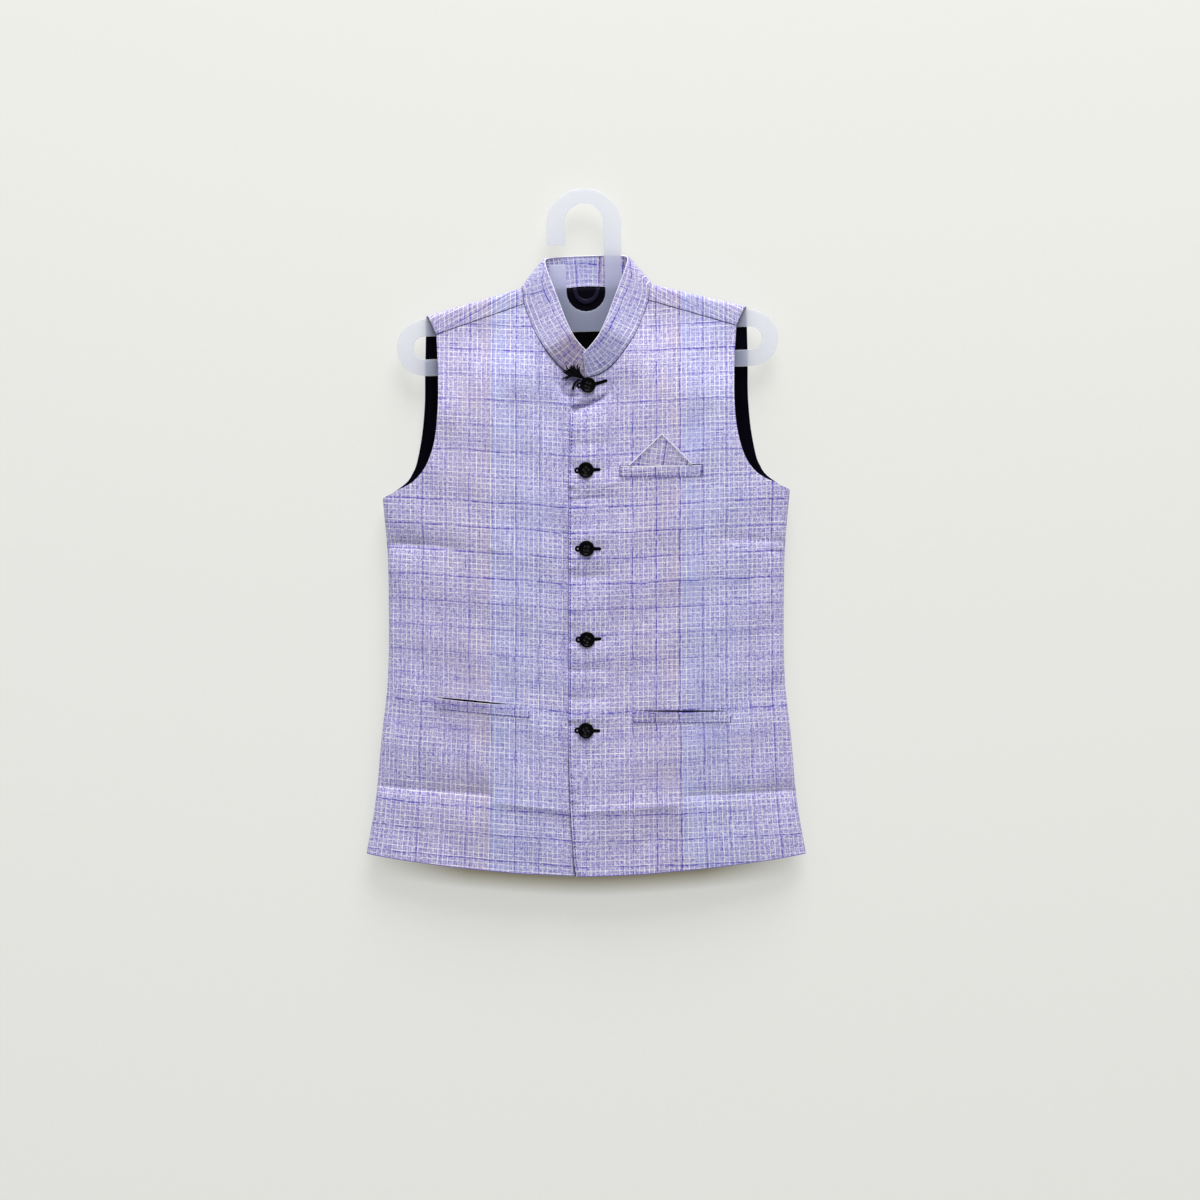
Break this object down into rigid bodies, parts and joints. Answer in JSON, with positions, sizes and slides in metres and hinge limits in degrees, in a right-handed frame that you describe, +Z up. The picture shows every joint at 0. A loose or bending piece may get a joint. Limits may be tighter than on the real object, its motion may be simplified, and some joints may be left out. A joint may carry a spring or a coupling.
{
  "type": "nehru jacket on hanger",
  "caption": "Sleeveless stand-collar checked jacket, buttoned, with welt pockets and a folded square, hanging flat on a one-piece plastic hanger.",
  "frame": {"origin": "inside top of the hanger's hook, where a wall hook or rod carries it", "axes": "+Z up along the hanging jacket, front of the jacket towards -Y, the wearer's left towards +X"},
  "size_m": [0.5494, 0.0471, 0.8564],
  "materials": {
    "lavender_check": "woven cotton check, soft",
    "black_lining": "black lining satin",
    "black_button": "polished black resin",
    "black_thread": "black cotton thread",
    "milky_plastic": "translucent milky polypropylene"
  },
  "bodies": {
    "root": {"front_left": "lavender_check", "front_right": "lavender_check", "back": "lavender_check", "back_lining": "black_lining", "collar": "lavender_check", "chest_welt": "lavender_check", "lower_welt_left": "lavender_check", "lower_welt_right": "lavender_check", "pocket_square": "lavender_check", "button_1": "black_button", "button_2": "black_button", "button_3": "black_button", "button_4": "black_button", "button_5": "black_button", "neck_label": "black_lining", "neck_loop": "black_lining", "tassel": "black_thread", "hanger": "milky_plastic"}
  },
  "joints": []
}
